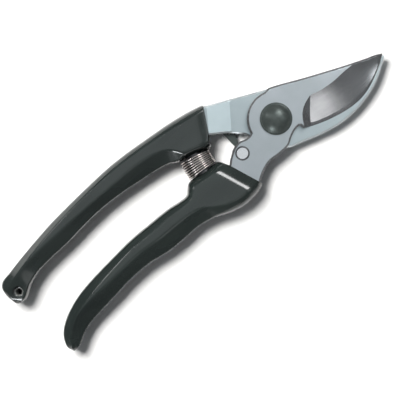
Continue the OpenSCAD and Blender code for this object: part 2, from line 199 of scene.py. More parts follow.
def weight_normals(obj):
    """Large flat faces stay flat, and sharp edges stay sharp."""
    modifier = obj.modifiers.new("weighted_normals", "WEIGHTED_NORMAL")
    modifier.keep_sharp = True
    modifier.weight = NORMAL_WEIGHT


def inside(points, loop):
    """Which points lie inside a closed loop."""
    x, y = points[:, 0], points[:, 1]
    result = np.zeros(len(points), bool)
    for i in range(len(loop)):
        x0, y0 = loop[i - 1]
        x1, y1 = loop[i]
        crosses = (y0 > y) != (y1 > y)
        if y1 != y0:
            result ^= crosses & (x < (x1 - x0) * (y - y0) / (y1 - y0) + x0)
    return result


def inset(loop, amounts):
    """A counter-clockwise loop moved inwards, each point by its own amount."""
    before, after = np.roll(loop, 1, axis=0), np.roll(loop, -1, axis=0)

    def normal(d):
        n = np.stack([-d[:, 1], d[:, 0]], axis=1)
        return n / np.maximum(np.linalg.norm(n, axis=1, keepdims=True), 1e-9)

    n = normal(loop - before) + normal(after - loop)
    length = np.maximum(np.linalg.norm(n, axis=1, keepdims=True), 1e-9)
    return loop + n / length * amounts[:, None]


def clear_of(points, line, distance):
    """The points that keep a distance from a line."""
    line = np.array(line)
    gaps = np.linalg.norm(points[:, None, :] - line[None, :, :], axis=2).min(axis=1)
    return points[gaps > distance]


def cap(loop, holes, creases, height, grid):
    """Triangles over a loop with holes, following a height function, with its creases as edges."""
    coords = [tuple(p) for p in loop]
    edges = [(i, (i + 1) % len(loop)) for i in range(len(loop))]
    for hole in holes:
        base = len(coords)
        coords += [tuple(p) for p in hole]
        edges += [(base + i, base + (i + 1) % len(hole)) for i in range(len(hole))]
    crease_points = []
    for line in creases:
        line = [tuple(p) for p in line]
        base = len(coords)
        coords += line
        crease_points += line
        edges += [(base + i, base + i + 1) for i in range(len(line) - 1)]
    if grid is not None:
        low, high, step = grid
        xs = np.arange(low[0], high[0], step)
        ys = np.arange(low[1], high[1], step * 0.87)
        spots = np.array([(x + (step / 2 if j % 2 else 0), y) for j, y in enumerate(ys) for x in xs])
        spots = spots[inside(spots, loop)]
        for line in [loop] + list(holes) + [crease_points or [(1e3, 1e3)]]:
            spots = clear_of(spots, line, step * 0.55)
        coords += [tuple(p) for p in spots]
    verts, _, tris, *_ = delaunay_2d_cdt([Vector(c) for c in coords], edges, [], 0, 1e-5)
    flat = np.array([(v.x, v.y) for v in verts])
    centres = np.array([flat[list(t)].mean(axis=0) for t in tris])
    keep = inside(centres, loop)
    for hole in holes:
        keep &= ~inside(centres, np.array(hole))
    points = [(x, y, height(x, y)) for x, y in flat]
    return points, [list(t) for t, k in zip(tris, keep) if k]


class Skin:
    """Collects rings and triangles into one closed mesh."""

    def __init__(self):
        self.verts = []
        self.faces = []

    def ring(self, points):
        base = len(self.verts)
        self.verts += [tuple(p) for p in points]
        return list(range(base, base + len(points)))

    def join(self, a, b):
        n = len(a)
        self.faces += [[a[i], a[(i + 1) % n], b[(i + 1) % n], b[i]] for i in range(n)]

    def patch(self, points, tris):
        base = len(self.verts)
        self.verts += points
        self.faces += [[base + i for i in t] for t in tris]


# Chamfered rims with softened ends: (share inwards, share downwards) of the rim's radius
RIM_PROFILE = [(0, 1.1), (0.04, 0.95), (0.12, 0.84), (0.5, 0.49), (0.9, 0.13), (0.98, 0.03), (1.1, 0)]
FLAT_RIM = [(0, 0.95), (0.04, 0.72), (0.14, 0.52), (0.85, 0.11), (0.96, 0.03), (1.1, 0)]
HOLE_SIDES = 48
CREASE_REACH = 1.5


def slab(loop, radius_top, radius_low, top, low, holes=(), creases_top=(), grid=None, rim=RIM_PROFILE):
    """A plate between two height functions, with chamfered rims and stepped round holes.
    A hole is (centre, [(radius, z), ...]) from the top face down to the low face."""
    skin = Skin()
    loop = np.array(loop)

    def rim_rings(radius, height, sign):
        rings = []
        for inwards, downwards in rim:
            moved = inset(loop, radius * inwards)
            drop = radius * downwards
            rings.append([(x, y, height(x, y) - sign * d) for (x, y), d in zip(moved, drop)])
        return rings

    tops, lows = rim_rings(radius_top, top, 1), rim_rings(radius_low, low, -1)
    ids = [skin.ring(r) for r in reversed(lows)] + [skin.ring(r) for r in tops]
    for a, b in zip(ids, ids[1:]):
        skin.join(a, b)

    def circle(centre, r):
        return [(centre[0] + r * math.cos(t), centre[1] + r * math.sin(t))
                for t in np.linspace(0, 2 * math.pi, HOLE_SIDES, endpoint=False)]

    for rings, height, which, creases in ((tops, top, 0, creases_top), (lows, low, -1, ())):
        rim = np.array([(x, y) for x, y, _ in rings[-1]])
        snapped = []
        for line in creases:
            line = [tuple(p) for p in line]
            for end in (0, -1):
                gaps = np.linalg.norm(rim - np.array(line[end]), axis=1)
                if gaps.min() < CREASE_REACH:
                    line[end] = tuple(rim[gaps.argmin()])
            snapped.append(line)
        loops = [circle(c, profile[which][0]) for c, profile in holes]
        points, tris = cap(rim, loops, snapped, height, grid if which == 0 else None)
        skin.patch(points, tris)
        if which == 0:
            crease_lines = [[(x, y, height(x, y)) for x, y in line] for line in snapped]
    for centre, profile in holes:
        rings = [skin.ring([(x, y, z) for x, y in circle(centre, r)]) for r, z in profile]
        for a, b in zip(rings, rings[1:]):
            skin.join(a, b)
    return skin, crease_lines


def lathe(profile, centre, steps):
    """Closed skin of a profile of (radius, z) turned round a centre; it starts and ends on the axis."""
    skin = Skin()
    rings = []
    for r, z in profile:
        rings.append(skin.ring([(centre[0] + r * math.cos(t), centre[1] + r * math.sin(t), z)
                                for t in np.linspace(0, 2 * math.pi, steps, endpoint=False)]))
    for a, b in zip(rings, rings[1:]):
        skin.join(a, b)
    return skin


def cut(obj, tool):
    """Takes one mesh away from another for good, and removes the tool."""
    modifier = obj.modifiers.new("cut", "BOOLEAN")
    modifier.operation = "DIFFERENCE"
    modifier.solver = "EXACT"
    modifier.object = tool
    done = obj.evaluated_get(bpy.context.evaluated_depsgraph_get())
    mesh = bpy.data.meshes.new_from_object(done)
    obj.modifiers.remove(modifier)
    obj.data = mesh
    bpy.data.objects.remove(tool)


# ---- Materials -------------------------------------------------------------

class Nodes:
    """A material's node tree, with short ways to add what the finishes need."""

    def __init__(self, name):
        self.material = bpy.data.materials.new(name)
        self.material.use_nodes = True
        self.tree = self.material.node_tree
        self.shader = self.tree.nodes["Principled BSDF"]
        self.coords = self.tree.nodes.new("ShaderNodeTexCoord").outputs["Object"]

    def link(self, a, b):
        self.tree.links.new(a, b)

    def stretched(self, scale, turn=0.0):
        mapping = self.tree.nodes.new("ShaderNodeMapping")
        mapping.inputs["Scale"].default_value = scale
        mapping.inputs["Rotation"].default_value = (0, 0, turn)
        self.link(self.coords, mapping.inputs["Vector"])
        return mapping.outputs["Vector"]

    def noise(self, vector, scale, detail=3.0, rough=0.5):
        n = self.tree.nodes.new("ShaderNodeTexNoise")
        n.inputs["Scale"].default_value = scale
        n.inputs["Detail"].default_value = detail
        n.inputs["Roughness"].default_value = rough
        self.link(vector, n.inputs["Vector"])
        return n.outputs["Fac"]

    def span(self, value, low, high, from_low=0.3, from_high=0.7):
        n = self.tree.nodes.new("ShaderNodeMapRange")
        n.inputs["From Min"].default_value = from_low
        n.inputs["From Max"].default_value = from_high
        n.inputs["To Min"].default_value = low
        n.inputs["To Max"].default_value = high
        self.link(value, n.inputs["Value"])
        return n.outputs["Result"]

    def tint(self, value, dark, light):
        n = self.tree.nodes.new("ShaderNodeMix")
        n.data_type = "RGBA"
        n.inputs["A"].default_value = (*dark, 1)
        n.inputs["B"].default_value = (*light, 1)
        self.link(value, n.inputs["Factor"])
        return n.outputs["Result"]

    def bump(self, height, strength, distance):
        n = self.tree.nodes.new("ShaderNodeBump")
        n.inputs["Strength"].default_value = strength
        n.inputs["Distance"].default_value = distance
        self.link(height, n.inputs["Height"])
        self.link(n.outputs["Normal"], self.shader.inputs["Normal"])


BRUSH_STRETCH = 0.06
BLACKENED_METALLIC = 0.6


def steel(name, dark, light, rough, brush_turn, grain=900.0):
    """Ground or forged steel: fine brushed grain and a soft cloudy tone."""
    m = Nodes(name)
    grain_vector = m.stretched((grain * BRUSH_STRETCH, grain, grain), brush_turn)
    brushed = m.noise(grain_vector, 1.0, 4.0, 0.6)
    clouds = m.noise(m.coords, 60.0, 3.0, 0.55)
    m.link(m.tint(m.span(clouds, 0.0, 1.0), dark, light), m.shader.inputs["Base Color"])
    m.link(m.span(brushed, rough - 0.02, rough + 0.03), m.shader.inputs["Roughness"])
    m.bump(brushed, 0.04, 0.00003)
    m.shader.inputs["Metallic"].default_value = 1.0
    return m.material


def vinyl(name, dark, light):
    """Dipped glossy coating with faint flow marks and a fine skin."""
    m = Nodes(name)
    flow = m.noise(m.stretched((30.0, 90.0, 90.0)), 1.0, 3.0, 0.5)
    skin = m.noise(m.coords, 1400.0, 2.0, 0.5)
    m.link(m.tint(m.span(flow, 0.0, 1.0), dark, light), m.shader.inputs["Base Color"])
    m.link(m.span(skin, 0.16, 0.24), m.shader.inputs["Roughness"])
    m.bump(skin, 0.02, 0.00003)
    m.shader.inputs["Coat Weight"].default_value = 0.35
    m.shader.inputs["Coat Roughness"].default_value = 0.08
    return m.material


def blackened(name, dark, light, rough):
    """Chemically blackened steel with worn, lighter specks."""
    m = Nodes(name)
    specks = m.noise(m.coords, 700.0, 3.0, 0.5)
    m.link(m.tint(m.span(specks, 0.0, 1.0, 0.45, 0.75), dark, light), m.shader.inputs["Base Color"])
    m.link(m.span(specks, rough - 0.02, rough + 0.04), m.shader.inputs["Roughness"])
    m.bump(specks, 0.01, 0.00001)
    m.shader.inputs["Metallic"].default_value = BLACKENED_METALLIC
    return m.material


cutting_steel = steel("cutting_steel", (0.50, 0.55, 0.57), (0.58, 0.62, 0.65), 0.34, math.radians(-20))
grind_steel = steel("grind_steel", (0.58, 0.585, 0.60), (0.68, 0.685, 0.70), 0.17, math.radians(62), 1500.0)
counter_steel = steel("counter_steel", (0.51, 0.59, 0.61), (0.59, 0.67, 0.69), 0.34, math.radians(25))
plain_steel = steel("plain_steel", (0.42, 0.44, 0.45), (0.55, 0.57, 0.58), 0.38, 0.0)
bright_steel = steel("bright_steel", (0.80, 0.81, 0.82), (0.90, 0.91, 0.92), 0.22, 0.3)
wire_steel = steel("wire_steel", (0.15, 0.12, 0.11), (0.26, 0.215, 0.195), 0.15, 0.0, 300.0)
# Plain steel made darker as painted shade on the pegs inside the coil
painted_shade_peg_steel = steel("painted_shade_peg_steel", (0.09, 0.09, 0.095), (0.15, 0.15, 0.155), 0.4, 0.0)
# A brighter copy of the counter steel, a painted highlight on the chamfered rims
painted_highlight_rim_steel = steel("painted_highlight_rim_steel", (0.80, 0.85, 0.86), (0.90, 0.94, 0.95), 0.48, 0.0)
# A lighter steel painted on the spring's outer crests as a painted highlight
painted_highlight_crest_steel = steel("painted_highlight_crest_steel", (0.62, 0.55, 0.52), (0.85, 0.79, 0.76), 0.28, 0.0, 300.0)
# A dark blackened finish used as painted shade on the plates' sides, chamfers and the rivet's seat
painted_shade_steel = blackened("painted_shade_steel", (0.13, 0.135, 0.14), (0.22, 0.22, 0.23), 0.32)
black_steel = blackened("black_steel", (0.075, 0.09, 0.086), (0.09, 0.105, 0.10), 0.36)
cutting_vinyl = vinyl("cutting_vinyl", (0.012, 0.017, 0.016), (0.02, 0.027, 0.025))
counter_vinyl = vinyl("counter_vinyl", (0.013, 0.018, 0.017), (0.022, 0.028, 0.027))
# A lighter grey vinyl for the hanging hole's wall and chamfer: painted light standing in for the bright spot seen
# down the hole
painted_light_bore_vinyl = vinyl("painted_light_bore_vinyl", (0.12, 0.125, 0.122), (0.2, 0.205, 0.202))


# ---- Grip outlines, shared by the grips and what enters them ---------------

SEAT_LOW_A = 178.0
SEAT_HIGH_A = 166.0
spring_reach = -(spring_low.x + spring_high.x) / 2 / math.cos(math.radians((SEAT_HIGH_A + SEAT_LOW_A) / 2 - 180))
spring_r = (spring_high.z - spring_low.z) / 2
seat_half = spring_r + 0.5

CUTTING_NEAR = [(-29.2, -2.7), (-31, 0.2), pol(spring_reach - seat_half + 1, SEAT_LOW_A),
                pol(spring_reach, SEAT_LOW_A), pol(spring_reach + seat_half, SEAT_LOW_A)] + along([
    (-50.2, -0.4), (-52.2, -2.3), (-56, -2.5), (-63, -1.9), (-73, -2.1), (-84, -2.5), (-96, -4), (-107, -5.6),
    (-116, -7.5), (-124, -10.5), (-130, -14.2), (-133.4, -18), (-134.9, -22.3), (-134, -25)])
CUTTING_FAR = along([
    (-22.3, -18.8), (-24.3, -20.1), (-28.2, -21.3), (-34.3, -21.8), (-40.5, -20.7), (-45, -19.1), (-49.5, -17.6),
    (-56.5, -16.6), (-64.5, -17.1), (-73.5, -17.3), (-83.6, -16.2), (-94.4, -16.7), (-104, -18.2),
    (-112.5, -19.4), (-119.5, -20.6), (-124.5, -22.4), (-128, -24.5), (-130.4, -25.8), (-132.2, -26)])
COUNTER_NEAR = [(-28.2, 11.8), (-29.6, 9.2), pol(spring_reach - seat_half, SEAT_HIGH_A),
                pol(spring_reach, SEAT_HIGH_A), pol(spring_reach + seat_half, SEAT_HIGH_A)] + along([
    (-49.6, 13.3), (-54.5, 14.3), (-63, 15.1), (-73, 15.8), (-84, 15.9), (-95, 14.9), (-105.7, 13.3),
    (-116, 12.4), (-124, 11.2), (-130, 8.9), (-133.4, 6.6), (-135.6, 5.3), (-137.6, 5), (-139.3, 5.7)])
COUNTER_FAR = along([
    (-21.6, 25), (-25.5, 25.9), (-29.5, 26.6), (-35.5, 27.4), (-41, 27.9), (-46, 28.2), (-52, 28.5),
    (-61.5, 28.9), (-72, 28.8), (-84, 27.8), (-95.8, 26.5), (-107, 25), (-118, 22.9), (-127, 20.9),
    (-134.5, 19.1), (-139.5, 17.9), (-141.8, 15.4), (-142, 11), (-141.1, 7.5)])

MOUTH_SHARE = 0.88
MOUTH_TAPER = 0.08


def mouth_edge(near, far, side, i):
    middle = (np.array(near[i]) + np.array(far[i])) / 2
    edge = np.array(near[i] if side > 0 else far[i])
    return tuple(middle + (edge - middle) * (MOUTH_SHARE - MOUTH_TAPER * i))


# ---- Grips -----------------------------------------------------------------

GRIP_SIDES = 96
GRIP_STEPS = 8
SQUARENESS = 2.4
RIM_HEIGHT = 1.3
RIM_SOFT = 0.12
MOUTH_LIP = [(0.90, 1.6), (0.915, 0.5), (0.945, 0.02), (0.975, 0.06), (0.993, 0.35)]


def soft_min(a, b, width):
    """The lower of two values, rounded where they meet."""
    meet = max(width - abs(a - b), 0) / width
    return min(a, b) - meet * meet * width / 4


SMOOTHINGS = 4
MOUTH_SOFT = 0.16
GRIP_FILL = 0.99
END_RINGS = 4
END_PUSH = 0.8
END_LEAST = 0.05
GRIP_SHARP_A = 50


def grip_mesh(name, near, far, material, mouth_len, mouth_slope, **shape):
    """Sweeps a section from the mouth, where it slopes down over mouth_len, to the handle's end. The shape is given
    as values at stations, between which it runs evenly. rise is the share of the full thickness. Two creases run
    along the top and the underside. Across the section (-1 far side, 1 near side) they lie at near_at and far_at,
    the faces beyond them fall by near_fall and far_fall, and near_soft and far_soft say how round they are."""
    n, f = curve(near, GRIP_STEPS), curve(far, GRIP_STEPS)
    station = np.linspace(0, len(near) - 1, len(n))
    values = {key: np.interp(station, *zip(*pairs)) for key, pairs in shape.items()}
    for v in values.values():
        for _ in range(SMOOTHINGS):
            v[1:-1] = (v[:-2] + 2 * v[1:-1] + v[2:]) / 4
    mouth = (n[0] - f[0]) / np.linalg.norm(n[0] - f[0])
    away = np.array([mouth[1], -mouth[0]])
    away *= math.copysign(1, (n[-1] - n[0]) @ away)
    skin = Skin()
    rings = []

    def section(i, share=1.0, push=(0.0, 0.0)):
        at_i = {key: v[i] for key, v in values.items()}
        middle, half = (n[i] + f[i]) / 2, (n[i] - f[i]) / 2
        points = []
        for k in range(GRIP_SIDES):
            a = 2 * math.pi * (k + 0.5) / GRIP_SIDES
            c, s = math.cos(a), math.sin(a)
            across = math.copysign(abs(c) ** (2 / SQUARENESS), c)
            near_face = 1 - at_i["near_fall"] * (across - at_i["near_at"])
            far_face = 1 - at_i["far_fall"] * (at_i["far_at"] - across)
            up = soft_min(1, near_face, at_i["near_soft"])
            up = soft_min(up, far_face, at_i["far_soft"])
            up = math.copysign(soft_min(up, RIM_HEIGHT * abs(s) ** (2 / SQUARENESS), RIM_SOFT), s)
            x, y = middle + half * across * share + np.array(push)
            shoulder = soft_min(1, 1 - (mouth_len - (np.array((x, y)) - n[0]) @ away) * mouth_slope / grip_half_t,
                                MOUTH_SOFT)
            points.append((x, y, grip_mid_z + grip_half_t * GRIP_FILL * at_i["rise"] * shoulder * up * share))
        return points

    inward = (n[2] + f[2]) / 2 - (n[0] + f[0]) / 2
    inward /= np.linalg.norm(inward)
    for share, depth in MOUTH_LIP:
        rings.append(skin.ring(section(0, share, inward * depth)))
    for i in range(1, len(n)):
        rings.append(skin.ring(section(i)))
    last = len(n) - 1
    out = (n[last] + f[last]) / 2 - (n[last - 3] + f[last - 3]) / 2
    out /= np.linalg.norm(out)
    for k in range(1, END_RINGS + 1):
        a = math.pi / 2 * k / END_RINGS
        rings.append(skin.ring(section(last, max(math.cos(a), END_LEAST), out * END_PUSH * math.sin(a))))
    for a, b in zip(rings, rings[1:]):
        skin.join(a, b)
    skin.faces.append(rings[0])
    skin.faces.append(rings[-1])
    return make_object(name, skin.verts, skin.faces, material, sharp_angle=GRIP_SHARP_A)


CUTTING_MOUTH_LEN, CUTTING_MOUTH_SLOPE = 5.6, math.tan(math.radians(31))
COUNTER_MOUTH_LEN, COUNTER_MOUTH_SLOPE = 4.4, math.tan(math.radians(16))
END_RISE = [(0, 1), (13, 1), (14, 0.97), (15, 0.9), (16, 0.84), (17, 0.72), (18, 0.55)]

cutting_grip = grip_mesh(
    "cutting_grip_coating", CUTTING_NEAR, CUTTING_FAR, cutting_vinyl, CUTTING_MOUTH_LEN, CUTTING_MOUTH_SLOPE,
    rise=END_RISE,
    near_at=[(0, 1), (3, 1), (4, 0.9), (5, 0.75), (6, 0.62), (8, 0.55), (10, 0.45), (12, 0.33), (13, 0.26),
             (14, 0.28), (15, 0.2), (16, 0.14), (18, 0.1)],
    near_fall=[(0, 0.4), (3, 0.4), (4, 0.5), (5, 0.58), (13, 0.58), (15, 0.5), (16, 0.42), (18, 0.3)],
    near_soft=[(0, 0.03), (5, 0.04), (11, 0.05), (13, 0.03), (16, 0.02), (18, 0.04)],
    far_at=[(0, -0.75), (3, -0.66), (4, -0.58), (5, -0.4), (6, -0.12), (7, -0.06), (11, -0.08), (12, -0.02),
            (13, 0.1), (14, 0.22), (15, 0.16), (16, 0.12), (18, 0.08)],
    far_fall=[(0, 0.9), (3, 0.85), (4, 0.7), (5, 0.55), (14, 0.5), (16, 0.45), (18, 0.3)],
    far_soft=[(0, 0.04), (4, 0.025), (6, 0.03), (8, 0.06), (11, 0.05), (14, 0.02), (16, 0.02), (18, 0.04)])
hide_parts("cutting_grip")
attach(cutting_grip, "cutting_half")

counter_grip = grip_mesh(
    "counter_grip_coating", COUNTER_NEAR, COUNTER_FAR, counter_vinyl, COUNTER_MOUTH_LEN, COUNTER_MOUTH_SLOPE,
    rise=END_RISE,
    near_at=[(0, 1), (3.1, 1), (3.3, 0.93), (3.5, 0.72), (3.7, 0.5), (4, 0.32), (4.5, 0.24), (5, 0.18),
             (6, 0.08), (7, 0.04), (8, 0.17), (9, 0.22), (10, 0.14), (12, -0.15), (13, -0.28), (15, -0.27),
             (16, -0.42), (18, -0.5)],
    near_fall=[(0, 0.5), (3, 0.5), (3.4, 0.8), (4, 0.65), (5, 0.58), (9, 0.58), (10, 0.5), (12, 0.36),
               (13, 0.26), (14, 0.18), (16, 0.12), (18, 0.1)],
    near_soft=[(0, 0.02), (5, 0.015), (6, 0.03), (9, 0.05), (12, 0.04), (14, 0.015), (16, 0.015), (18, 0.03)],
    far_at=[(0, -0.66), (5, -0.63), (9, -0.58), (11, -0.52), (12, -0.46), (13, -0.36), (14, -0.34), (15, -0.3),
            (16, -0.45), (18, -0.52)],
    far_fall=[(0, 0.9), (11, 0.9), (12, 0.85), (13, 0.75), (14, 0.68), (16, 0.5), (18, 0.4)],
    far_soft=[(0, 0.03), (3, 0.05), (5, 0.1), (9, 0.1), (11, 0.07), (13, 0.03), (14, 0.015), (16, 0.015),
              (18, 0.04)])

hang_at = along([(-136.4, 9.6)])[0]
HANG_WALL = 10
HANG_R = 1.4
HANG_CHAMFER = 0.5
BORE_REACH = HANG_R + HANG_CHAMFER + 0.02
hang_seat_r = HANG_R + 1.3
hang_floor, hang_roof = grip_mid_z - HANG_WALL / 2, grip_mid_z + HANG_WALL / 2
TOOL_LOW, TOOL_HIGH, ON_AXIS = -2, 20, 0.001
hang_profile = [(ON_AXIS, TOOL_LOW), (hang_seat_r, TOOL_LOW), (hang_seat_r, hang_floor), (HANG_R, hang_floor + 0.2),
                (HANG_R, hang_roof - 0.1 - HANG_CHAMFER), (HANG_R + HANG_CHAMFER, hang_roof - 0.1),
                (hang_seat_r, hang_roof), (hang_seat_r, TOOL_HIGH), (ON_AXIS, TOOL_HIGH)]
hang_skin = lathe(hang_profile, hang_at, 40)
hang_tool = make_object("hang_tool", hang_skin.verts, hang_skin.faces, counter_vinyl, clip=False)
cut(counter_grip, hang_tool)
# The hanging hole's bore and chamfer get the lighter vinyl as a painted light spot
counter_grip.data.materials.append(painted_light_bore_vinyl)
for polygon in counter_grip.data.polygons:
    corners = [counter_grip.data.vertices[v].co.xy / MM - Vector(hang_at) for v in polygon.vertices]
    if max(c.length for c in corners) < BORE_REACH:
        polygon.material_index = len(counter_grip.data.materials) - 1
counter_grip.data.set_sharp_from_angle(angle=math.radians(GRIP_SHARP_A))
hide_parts("counter_grip")
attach(counter_grip, "counter_half")


# ---- Cutting blade ---------------------------------------------------------

PLATE_SHARP_A = 16
SIDE_TILT = 0.25
CUTTING_RIM_TILT = 0.88
COUNTER_RIM_TILT = 0.92
SEAT_MARGIN = 0.05


def shade_sides(plate, slot, tilt):
    """Faces whose normal rises less than tilt, and the rivet's seat, get a dark blackened finish as painted shade.
    """
    plate.data.materials.append(painted_shade_steel)
    for polygon in plate.data.polygons:
        x, y, z = polygon.center / MM
        seat = math.hypot(x - rivet_at.x, y - rivet_at.y) < rivet_seat_r + SEAT_MARGIN and z > lap_z
        if abs(polygon.normal.z) < tilt or seat:
            polygon.material_index = slot


TIP = along([(55.5, -6.2)])[0]
SPINE = along([(5.8, 12.85), (11, 10.9), (19.5, 7.3), (29, 3.5), (39, -0.3), (47, -3.1), (52.5, -4.8), TIP])
EDGE = along([(55.5, -6.2), (53.6, -7.7), (50.9, -9.6), (44.2, -13.3), (37.8, -15.7), (31.3, -16.4), (24.5, -15.8),
              (17.3, -14.3), (11, -12.3), (7.2, -10.8)])
NOTCH = [(7.2, -10.8), (6.7, -8.9), (4.9, -8.8), (2.6, -9.5), (0.3, -10.7), (-3, -12.7), (-8.2, -13.3),
         (-13.9, -13.3), (-19.2, -15.4), mouth_edge(CUTTING_NEAR, CUTTING_FAR, -1, 0)]
BACK = [mouth_edge(CUTTING_NEAR, CUTTING_FAR, 1, 0), (-27, -1.8), (-24.1, 0.3), (-21.6, 1.5), (-18.9, 1.9),
        (-16.4, 1.3), (-14.3, 1.2), pol(HEEL_R, 172)]
GRIND_TOP = along([(17, -0.8), (20, -1.4), (24, -2.2), (30, -2.5), (37, -2), (43, -2), (48, -2.1), (52.5, -2.5),
                   (58, -3.2)])
GRIND_LOW = along([(9, -10.2), (12, -11.2), (17, -12.7), (22, -13.8), (28.9, -14.6), (34.5, -14.6), (39.2, -13.9),
                   (45.3, -12), (51.2, -8.6), (53.5, -6.9), (56.5, -4.2)])
HEEL_START = [(18.6, -0.9), (14.4, -2.5), (11.2, -4.7), (9.1, -7.6), (7.9, -10.2), (7.4, -11.6)]
HEEL_END = [(18.6, -0.9), (15.9, -4.2), (13.4, -7.6), (11.7, -10.2), (11, -11.6), (10.9, -12.4)]


def dedupe(points):
    kept = []
    for p in points:
        p = tuple(map(float, p))
        if not kept or math.dist(kept[-1], p) > 1e-4:
            kept.append(p)
    if math.dist(kept[0], kept[-1]) < 1e-4:
        kept.pop()
    return np.array(kept)


def counter_clockwise(loop):
    x, y = loop[:, 0], loop[:, 1]
    area = (x * np.roll(y, -1) - np.roll(x, -1) * y).sum()
    return loop if area > 0 else loop[::-1]


blade_loop = counter_clockwise(dedupe(np.concatenate([
    even(curve(SPINE, 10), 0.7), even(curve(EDGE, 10), 0.7), even(curve(NOTCH, 10), 0.6),
    [mouth_edge(CUTTING_NEAR, CUTTING_FAR, -1, 1), mouth_edge(CUTTING_NEAR, CUTTING_FAR, 1, 1)],
    even(curve(BACK, 10), 0.6), even(arc(HEEL_R, 172, 76, 60), 0.6)])))

top_line = curve(GRIND_TOP, 12)
low_line = curve(GRIND_LOW, 12)
edge_line = curve(EDGE, 12)[::-1]
start_line = curve(HEEL_START, 12)[::-1]
end_line = curve(HEEL_END, 12)[::-1]


def at(line, x, by=0):
    """A line's y at x, or with by=1 its x at y."""
    order = np.argsort(line[:, by])
    return float(np.interp(x, line[order, by], line[order, 1 - by]))


GRIND_FULL = blade_t - BEVEL_T
HOLLOW = 0.22


def grind_depth(x, y):
    """How far the ground face lies under the plate's face."""
    y_top, y_low = at(top_line, x), at(low_line, x)
    if y >= y_top or x < 6:
        return 0.0
    share = (y_top - y) / max(y_top - y_low, 0.5)
    if share <= 1:
        depth = GRIND_FULL * share + HOLLOW * 4 * share * (1 - share)
    else:
        y_edge = at(edge_line, x) - 0.05
        depth = GRIND_FULL + (BEVEL_T - EDGE_T) * min((y_low - y) / max(y_low - y_edge, 0.3), 1.0)
    x_start, x_end = at(start_line, y, by=1), at(end_line, y, by=1)
    if x < x_end:
        run = (x - x_start) / max(x_end - x_start, 0.01)
        depth *= 0.0 if run <= 0 else 0.55 * math.sin(run * math.pi / 2) + 0.45 * run
    return min(depth, blade_t - EDGE_T)


def blade_top(x, y):
    return plate_top - grind_depth(x, y)


MOUTH_A = 203.0
MOUTH_RAMP_FAR = 22.5
REAR_SLOPE = math.tan(math.radians(32))


def blade_low_face(x, y):
    """The plate's underside, with a ramp down to the tang at the mouth."""
    far = x * math.cos(math.radians(MOUTH_A)) + y * math.sin(math.radians(MOUTH_A))
    return max(plate_z - max(far - MOUTH_RAMP_FAR, 0) * REAR_SLOPE, core_z)


def rim_radius(loop, full, corners, least=0.02):
    """A rim radius for each point, that fades out near the named sharp corners and lines."""
    gaps = np.full(len(loop), 1e3)
    for corner in corners:
        gaps = np.minimum(gaps, np.linalg.norm(loop[:, None, :] - np.atleast_2d(corner)[None], axis=2).min(axis=1))
    return np.clip(gaps * 0.35, least, full)


edge_zone = even(curve(EDGE[:-1], 10), 0.4)
blade_radius = rim_radius(blade_loop, 0.85, [edge_zone, [TIP]])
blade_radius_low = np.minimum(blade_radius, 0.3)


def band(line, low, high, spacing=0.7):
    points = even(line, spacing)
    return [tuple(p) for p in points if low <= p[0] <= high]


grind_creases = [
    band(top_line, 18.9, 44.8),
    band(low_line, 12.2, 52.2),
    [tuple(p) for p in even(curve(HEEL_START, 12), 0.6)][1:-2],
    [tuple(p) for p in even(curve(HEEL_END, 12), 0.6)][1:-2],
]
rivet_r = 1.5
bolt_hole = ((0.0, 0.0), [(bolt_r + 0.05, plate_top), (bolt_r + 0.05, plate_z)])
boss_z = 3.69
rivet_floor = plate_top - RIVET_SEAT_DEPTH
rivet_hole = (tuple(rivet_at), [(rivet_seat_r + 0.2, plate_top), (rivet_seat_r, plate_top - 0.15),
                                (rivet_seat_r, rivet_floor), (rivet_r, rivet_floor), (rivet_r, plate_z)])
blade_skin, blade_creases = slab(
    blade_loop, blade_radius, blade_radius_low, blade_top, blade_low_face, [bolt_hole, rivet_hole],
    creases_top=grind_creases, grid=((6, -17), (56, 0), 1.1))
boss_r = 4.5
ring = [(rivet_r, plate_z + 0.2), (rivet_r, boss_z), (boss_r - 0.3, boss_z), (boss_r, boss_z + 0.3),
        (boss_r, plate_z + 0.2), (rivet_r, plate_z + 0.2)]
boss = lathe(ring, rivet_at, 48)
blade_skin.patch(boss.verts, boss.faces)
cutting_blade = make_object("cutting_blade_forging", blade_skin.verts, blade_skin.faces, cutting_steel,
                            sharp_edges=blade_creases, sharp_angle=PLATE_SHARP_A)
cutting_blade.data.materials.append(grind_steel)
for polygon in cutting_blade.data.polygons:
    x, y, z = polygon.center / MM
    if polygon.normal.z > 0.2 and x > 7 and grind_depth(x, y) > 0.02:
        polygon.material_index = 1
shade_sides(cutting_blade, 2, CUTTING_RIM_TILT)
weight_normals(cutting_blade)
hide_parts("cutting_blade")
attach(cutting_blade, "cutting_half")


# ---- Counter blade ---------------------------------------------------------

OVERLAP = 2.4
NECK_TOP = [mouth_edge(COUNTER_NEAR, COUNTER_FAR, -1, 0), (-19, 22.9), (-15.2, 21.5), (-9.7, 19.3), (-4.3, 17),
            (-0.3, 15.3), (3.2, 13.85), (5.2, 13.05), pol(HEEL_R, 62)]
NECK_LOW = [(-2, -14.1), (-6.5, -11.2), (-10.6, -7.2), (-12.9, -2.5), (-14.3, 2.2), (-17, 5.1), (-20.9, 8.5),
            (-24.6, 10.7), mouth_edge(COUNTER_NEAR, COUNTER_FAR, 1, 0)]
HOOK_NEAR = along([pol(HEEL_R, -20), (13.6, -7.6), (17.3, -14.3 + OVERLAP), (24.5, -15.8 + OVERLAP),
                   (31.3, -16.4 + OVERLAP), (37.8, -15.7 + OVERLAP), (44.2, -13.3 + OVERLAP),
                   (50.9, -9.6 + OVERLAP / 2), (55.3, -6.8)])
HOOK_FAR = along([(55.3, -6.8), (55.3, -7.9), (52.3, -10), (49.2, -12.4), (44, -15.2), (38, -17.4), (31.1, -18.9),
                  (24.1, -19.4), (18, -18.9), (10.6, -17.4), (3.5, -15.5), (-2, -14.1)])
